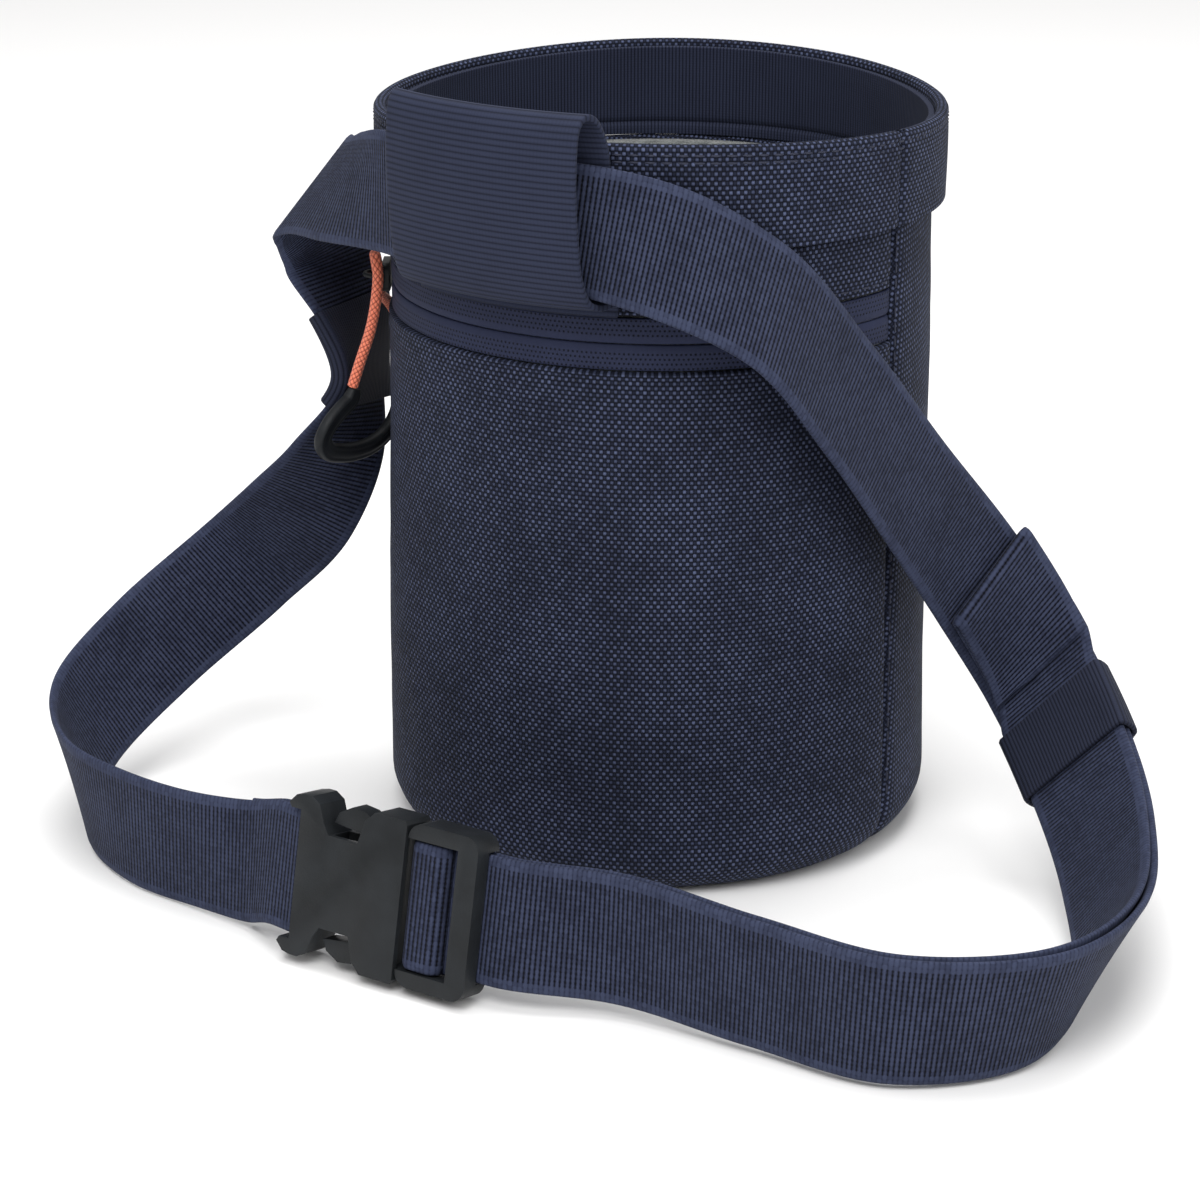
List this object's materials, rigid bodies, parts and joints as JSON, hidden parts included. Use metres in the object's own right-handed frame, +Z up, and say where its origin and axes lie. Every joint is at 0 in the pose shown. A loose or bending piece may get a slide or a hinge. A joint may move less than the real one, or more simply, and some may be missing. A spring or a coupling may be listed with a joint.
{
  "type": "climbing chalk bag",
  "caption": "Open cloth drum with a zipped front pocket, a fleece lining and a webbing waist belt held by a wide front loop and closed with a side-release buckle",
  "frame": {"origin": "on the floor under the middle of the drum's round base", "axes": "+Z up; the zipped front with the belt loop faces -Y; +X to the right seen from the front"},
  "size_m": [0.2439, 0.1699, 0.162],
  "materials": {
    "cloth": "coarse woven navy cloth",
    "tape": "ribbed navy tape",
    "webbing": "ribbed navy webbing",
    "fleece": "grey pile fleece",
    "plastic": "satin slate grey",
    "cord": "braided orange cord"
  },
  "bodies": {
    "root": {"pocket_panel": "cloth", "back_panel": "cloth", "upper_panel": "cloth", "base_panel": "cloth", "rim_band": "cloth", "collar": "tape", "fleece_lining": "fleece", "zip_tape_lower": "tape", "zip_tape_upper": "tape", "zip_slider": "plastic", "buckle_female": "plastic", "buckle_male": "plastic", "belt_left": "webbing", "belt_right": "webbing", "belt_tail": "webbing", "left_keeper": "tape", "right_keeper": "tape", "belt_loop": "webbing", "pull_bow": "plastic", "pull_cord": "cord", "return_cord": "cord"}
  },
  "joints": []
}
